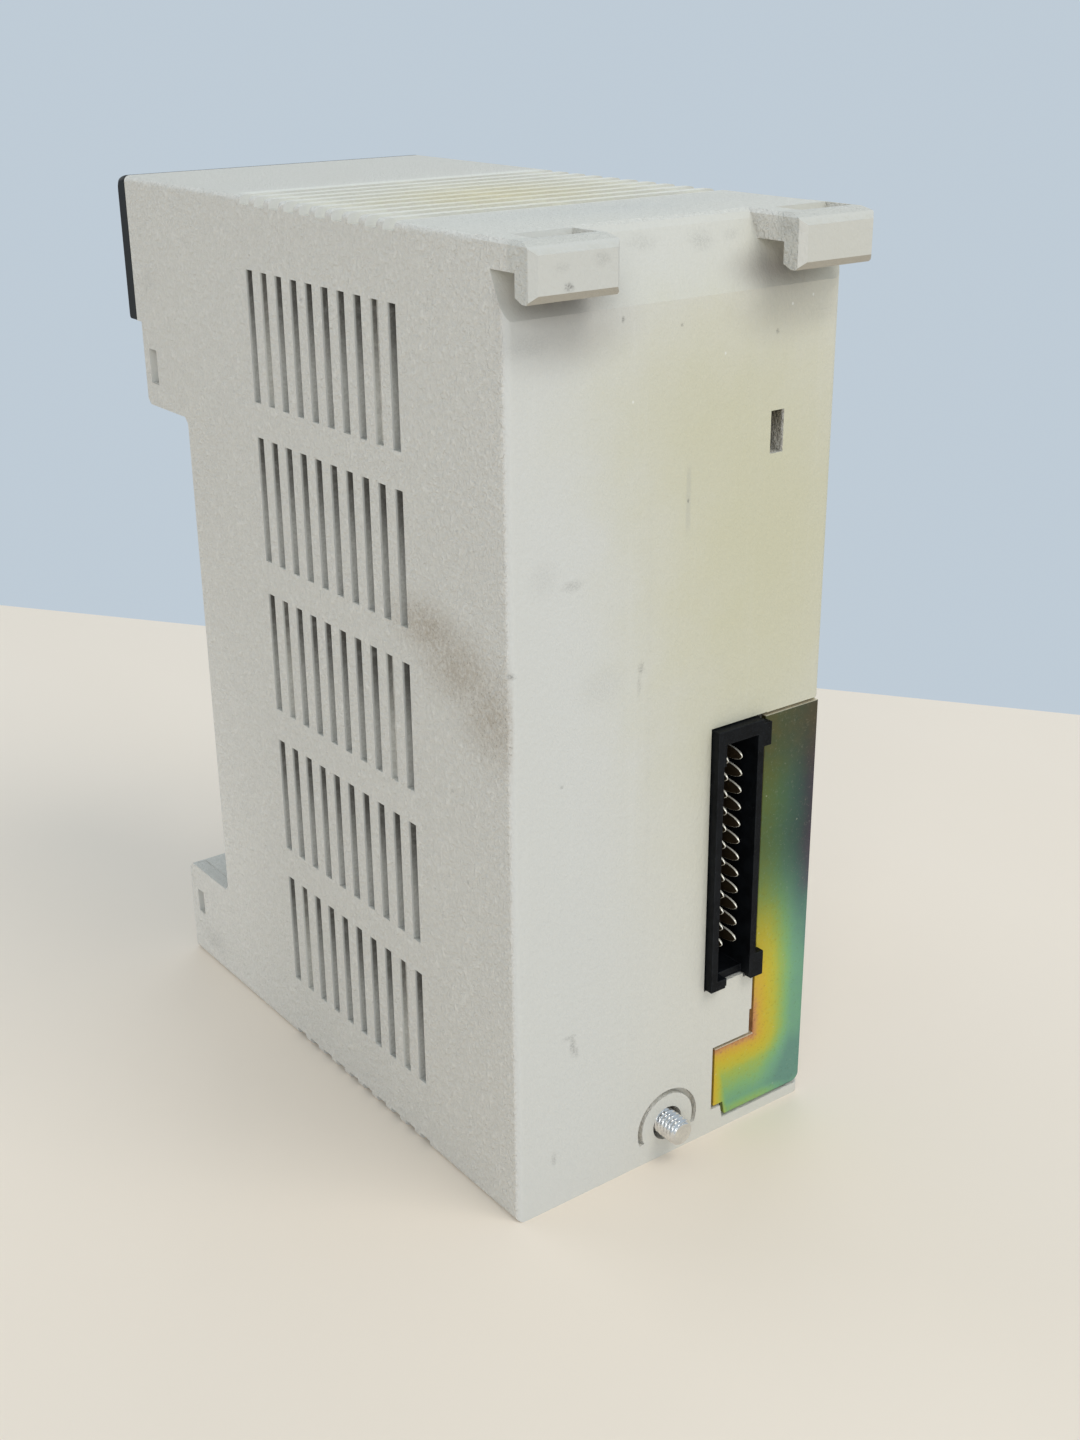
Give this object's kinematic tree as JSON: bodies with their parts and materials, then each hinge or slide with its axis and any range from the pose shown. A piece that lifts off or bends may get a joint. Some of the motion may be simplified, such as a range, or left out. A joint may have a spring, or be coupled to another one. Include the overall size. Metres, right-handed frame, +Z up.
{
  "type": "plc module",
  "caption": "Tall narrow rack-mounted control module with vented sides, hooks and a socket at the back, a captive screw, and covered terminals in a recessed front.",
  "frame": {"origin": "centre of the footprint at the foot of the object, which stands on its bottom face", "axes": "+Z up, +Y towards the rack that the back face meets (hooks, connector, earth plate), -Y is the operator's side, +X is the vented side beside the backplane connector's far edge"},
  "size_m": [0.0526, 0.104, 0.13],
  "materials": {
    "case_plastic": "fine spark-textured moulding, aged",
    "bezel_plastic": "fine spark-textured moulding",
    "dark_panel": "satin dark strip",
    "lens_plastic": "tinted lens",
    "led_plastic": "diffused epoxy",
    "board": "green solder resist on glass epoxy",
    "terminal_plastic": "moulded black phenolic",
    "zinc_steel": "zinc plated",
    "tinned_brass": "tin plated",
    "clear_cover": "clear acrylic, standing in as glass",
    "black_nylon": "moulded nylon",
    "fish_paper": "grey insulating card",
    "connector_plastic": "glass-filled black plastic",
    "contact_metal": "gold flash over brass",
    "chromated_steel": "yellow chromate with iridescent bands",
    "bright_zinc": "bright zinc plated, M4 thread",
    "nylon": "natural nylon",
    "ferrite": "sintered ferrite",
    "winding_tape": "yellow polyester tape",
    "enamelled_copper": "enamelled copper wire",
    "powder_core": "coated powder core",
    "capacitor_sleeve": "shrunk sleeve on an aluminium can",
    "capacitor_sleeve_dark": "shrunk sleeve on an aluminium can",
    "film_capacitor": "box film capacitor",
    "epoxy_black": "moulded epoxy",
    "fuse_glass": "glass tube",
    "heatsink_aluminium": "extruded and punched",
    "disc_coating": "dipped blue coating"
  },
  "bodies": {
    "module": {"rear_case": "case_plastic", "front_bezel": "bezel_plastic", "indicator_panel": "dark_panel", "indicator_lens": "lens_plastic", "indicator_led": "led_plastic", "indicator_board": "board", "terminal_block": "terminal_plastic", "terminal_block_screws": "zinc_steel", "terminal_contacts": "tinned_brass", "terminal_washers": "zinc_steel", "terminal_screws": "zinc_steel", "voltage_selector_link": "tinned_brass", "terminal_board": "board", "board_link_headers": "black_nylon", "main_board": "board", "board_screws": "zinc_steel", "insulation_sheet": "fish_paper", "backplane_connector": "connector_plastic", "connector_pins": "contact_metal", "connector_board": "board", "earth_plate": "chromated_steel", "earth_strap": "tinned_brass", "screw_retainer": "nylon", "transformer_core": "ferrite", "transformer_bobbin": "black_nylon", "transformer_winding": "winding_tape", "line_choke_core": "ferrite", "line_choke_windings": "enamelled_copper", "output_choke_core": "powder_core", "output_choke_winding": "enamelled_copper", "bulk_capacitors": "capacitor_sleeve", "output_capacitors": "capacitor_sleeve_dark", "line_capacitors": "film_capacitor", "bridge_rectifier": "epoxy_black", "fuse": "fuse_glass", "fuse_clips": "tinned_brass", "switching_transistor": "epoxy_black", "primary_heatsink": "heatsink_aluminium", "output_rectifiers": "epoxy_black", "secondary_heatsink": "heatsink_aluminium", "heatsink_screws": "zinc_steel", "surge_varistor": "disc_coating", "control_ics": "epoxy_black", "suppression_discs": "disc_coating"},
    "screw_washers": {"flat_washer": "bright_zinc", "spring_washer": "zinc_steel"},
    "captive_screw": {"mounting_screw": "bright_zinc"},
    "cover": {"terminal_cover": "clear_cover"}
  },
  "joints": [
    {"name": "screw_slide", "type": "slide", "parent": "module", "child": "screw_washers", "axis": [0, 1, 0], "range_m": [-0.0056, 0.0005]},
    {"name": "screw_turn", "type": "hinge", "parent": "screw_washers", "child": "captive_screw", "pos_m": [0, 0.04675, 0.00525], "axis": [0, 1, 0], "continuous": true},
    {"name": "cover_hinge", "type": "hinge", "parent": "module", "child": "cover", "pos_m": [-0.0153, -0.04515, 0.0565], "axis": [0, 0, -1], "range_deg": [0, 120]}
  ]
}
